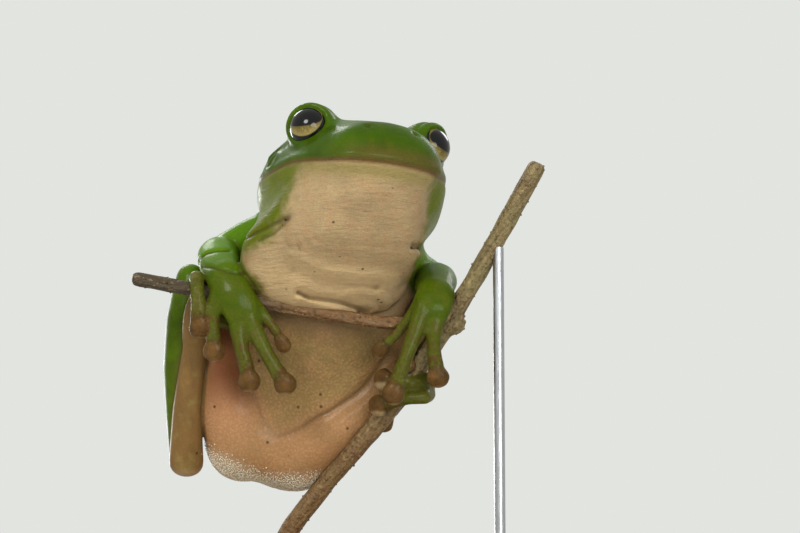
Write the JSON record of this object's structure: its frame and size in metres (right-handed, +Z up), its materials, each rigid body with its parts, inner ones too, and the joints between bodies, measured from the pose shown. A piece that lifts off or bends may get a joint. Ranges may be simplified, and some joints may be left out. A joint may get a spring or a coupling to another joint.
{
  "type": "tree frog",
  "caption": "Still, life-size green tree frog sitting up on a forked stem with its hands over the twig, held by a disc base and rods, for display.",
  "frame": {"origin": "centre of the underside of the stand's round base", "axes": "+Z up; -Y is the side that the belly and the face are turned to; +X is the frog's left"},
  "size_m": [0.08, 0.08, 0.0916],
  "materials": {
    "skin": "satin",
    "eye": "gloss",
    "bark": "matte",
    "stand_wood": "satin",
    "stand_steel": "satin"
  },
  "bodies": {
    "root": {"perch_branch": "bark", "perch_twig": "bark", "eye_right": "eye", "eye_left": "eye", "head": "skin", "lower_jaw": "skin", "trunk": "skin", "upper_arm_right": "skin", "forearm_right": "skin", "hand_right": "skin", "finger_1_right": "skin", "finger_2_right": "skin", "finger_3_right": "skin", "finger_4_right": "skin", "thigh_right": "skin", "shank_right": "skin", "tarsus_right": "skin", "foot_right": "skin", "toe_1_right": "skin", "toe_2_right": "skin", "toe_3_right": "skin", "toe_4_right": "skin", "toe_5_right": "skin", "upper_arm_left": "skin", "forearm_left": "skin", "hand_left": "skin", "finger_1_left": "skin", "finger_2_left": "skin", "finger_3_left": "skin", "finger_4_left": "skin", "thigh_left": "skin", "shank_left": "skin", "tarsus_left": "skin", "foot_left": "skin", "toe_1_left": "skin", "toe_2_left": "skin", "toe_3_left": "skin", "toe_4_left": "skin", "toe_5_left": "skin", "stand_base": "stand_wood", "stand_rod_low": "stand_steel", "stand_rod_high": "stand_steel"}
  },
  "joints": []
}
